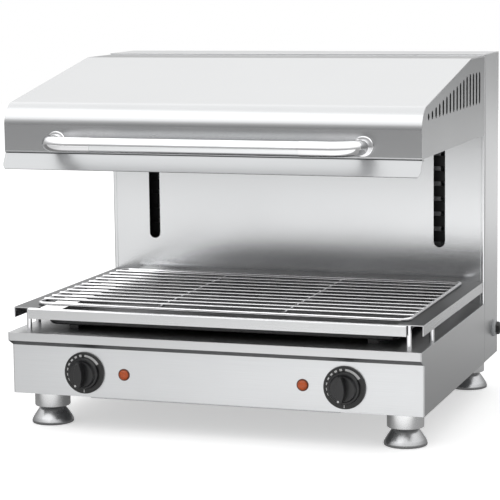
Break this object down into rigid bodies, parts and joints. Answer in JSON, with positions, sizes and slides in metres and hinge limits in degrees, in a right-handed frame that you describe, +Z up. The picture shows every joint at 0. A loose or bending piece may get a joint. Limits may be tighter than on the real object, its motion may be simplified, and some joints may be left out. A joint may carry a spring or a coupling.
{
  "type": "cheese melter",
  "caption": "Rise-and-fall cheese melter: a heated hood on a rear column lowers over a wire grid and drip tray; knobs, lamps and levelling feet on the base.",
  "frame": {"origin": "on the floor, under the middle of the casing's 600 by 480 mm footprint", "axes": "+X to the right seen from the front, +Y towards the column at the back, +Z up"},
  "size_m": [0.611, 0.5523, 0.515],
  "materials": {
    "brushed_steel": "horizontally brushed stainless sheet",
    "galvanised_steel": "plain zinc-plated steel",
    "polished_steel": "polished stainless",
    "grid_wire": "bright plated wire",
    "black_steel": "matt black coated steel",
    "cast_weight": "raw cast iron",
    "wire_rope": "stranded steel cable",
    "nylon": "natural nylon",
    "ceramic": "glazed ceramic and moulded housing",
    "dial_black": "satin black with white scale",
    "knob_black": "fine-textured black phenolic",
    "amber_lens": "translucent amber lens",
    "gland_grey": "light grey nylon",
    "gland_black": "black nylon",
    "dark_enamel": "dark glossy enamel",
    "element_sheath": "heat-stained alloy sheath"
  },
  "bodies": {
    "casing": {"base_front_panel": "brushed_steel", "base_deck": "brushed_steel", "base_side_left": "brushed_steel", "base_side_right": "brushed_steel", "base_bottom_plate": "brushed_steel", "service_cover": "brushed_steel", "column_front_panel": "brushed_steel", "column_side_left": "brushed_steel", "column_side_right": "brushed_steel", "column_top_cover": "brushed_steel", "column_back_cover": "brushed_steel", "grid_rail_left": "brushed_steel", "grid_rail_right": "brushed_steel", "grid_front_bar": "brushed_steel", "pulley_brackets": "galvanised_steel", "casing_screws": "galvanised_steel", "weight_guides": "galvanised_steel", "foot_collars": "polished_steel", "pulley_axles": "polished_steel", "grid_posts": "grid_wire", "guide_channel_left": "black_steel", "guide_channel_right": "black_steel", "tray_runners": "black_steel", "cables_over_pulleys": "wire_rope", "regulator_left": "ceramic", "regulator_right": "ceramic", "terminal_block": "ceramic", "dial_ring_left": "dial_black", "dial_ring_right": "dial_black", "lamp_left": "amber_lens", "lamp_right": "amber_lens", "cable_gland": "gland_grey", "gland_nut": "gland_black"},
    "foot_front_left": {"foot_front_left": "polished_steel"},
    "foot_front_right": {"foot_front_right": "polished_steel"},
    "foot_rear_left": {"foot_rear_left": "polished_steel"},
    "foot_rear_right": {"foot_rear_right": "polished_steel"},
    "knob_left": {"knob_left": "knob_black"},
    "knob_right": {"knob_right": "knob_black"},
    "pulley_left": {"pulley_left": "nylon"},
    "pulley_right": {"pulley_right": "nylon"},
    "counterweight": {"counterweight": "cast_weight", "cables_to_weight": "wire_rope"},
    "wire_grid": {"wire_grid": "grid_wire"},
    "drip_tray": {"drip_tray": "dark_enamel"},
    "hood": {"hood_shell": "brushed_steel", "hood_side_left": "brushed_steel", "hood_side_right": "brushed_steel", "hood_back_panel": "brushed_steel", "hood_deflector": "brushed_steel", "reflector": "polished_steel", "element_left": "element_sheath", "element_right": "element_sheath", "element_holders": "galvanised_steel", "handle_bar": "brushed_steel", "handle_bend_left": "polished_steel", "handle_bend_right": "polished_steel", "lift_arms": "brushed_steel", "slide_shoes": "nylon", "cables_to_hood": "wire_rope"}
  },
  "joints": [
    {"name": "hood_lift", "type": "slide", "parent": "casing", "child": "hood", "axis": [0, 0, 1], "range_m": [-0.17, 0], "deforming": ["cables_to_hood"]},
    {"name": "counterweight_lift", "type": "slide", "parent": "casing", "child": "counterweight", "axis": [0, 0, 1], "range_m": [0, 0.17], "deforming": ["cables_to_weight"]},
    {"name": "pulley_left_turn", "type": "hinge", "parent": "casing", "child": "pulley_left", "pos_m": [-0.23, 0.1779, 0.487], "axis": [1, 0, 0], "range_deg": [0, 488]},
    {"name": "pulley_right_turn", "type": "hinge", "parent": "casing", "child": "pulley_right", "pos_m": [0.23, 0.1779, 0.487], "axis": [1, 0, 0], "range_deg": [0, 488]},
    {"name": "knob_left_turn", "type": "hinge", "parent": "casing", "child": "knob_left", "pos_m": [-0.19, -0.24, 0.0845], "axis": [0, 1, 0], "range_deg": [0, 280]},
    {"name": "knob_right_turn", "type": "hinge", "parent": "casing", "child": "knob_right", "pos_m": [0.19, -0.24, 0.0845], "axis": [0, 1, 0], "range_deg": [0, 280]},
    {"name": "foot_front_left_screw", "type": "slide", "parent": "casing", "child": "foot_front_left", "axis": [0, 0, -1], "range_m": [0, 0.012]},
    {"name": "foot_front_right_screw", "type": "slide", "parent": "casing", "child": "foot_front_right", "axis": [0, 0, -1], "range_m": [0, 0.012]},
    {"name": "foot_rear_left_screw", "type": "slide", "parent": "casing", "child": "foot_rear_left", "axis": [0, 0, -1], "range_m": [0, 0.012]},
    {"name": "foot_rear_right_screw", "type": "slide", "parent": "casing", "child": "foot_rear_right", "axis": [0, 0, -1], "range_m": [0, 0.012]},
    {"name": "grid_pull", "type": "slide", "parent": "casing", "child": "wire_grid", "axis": [0, -1, 0], "range_m": [0, 0.28]},
    {"name": "tray_pull", "type": "slide", "parent": "casing", "child": "drip_tray", "axis": [0, -1, 0], "range_m": [0, 0.3]}
  ],
  "couplings": [
    {"joint": "counterweight_lift", "follows": "hood_lift", "ratio": -1},
    {"joint": "pulley_left_turn", "follows": "hood_lift", "rad_per_m": -50},
    {"joint": "pulley_right_turn", "follows": "hood_lift", "rad_per_m": -50}
  ]
}
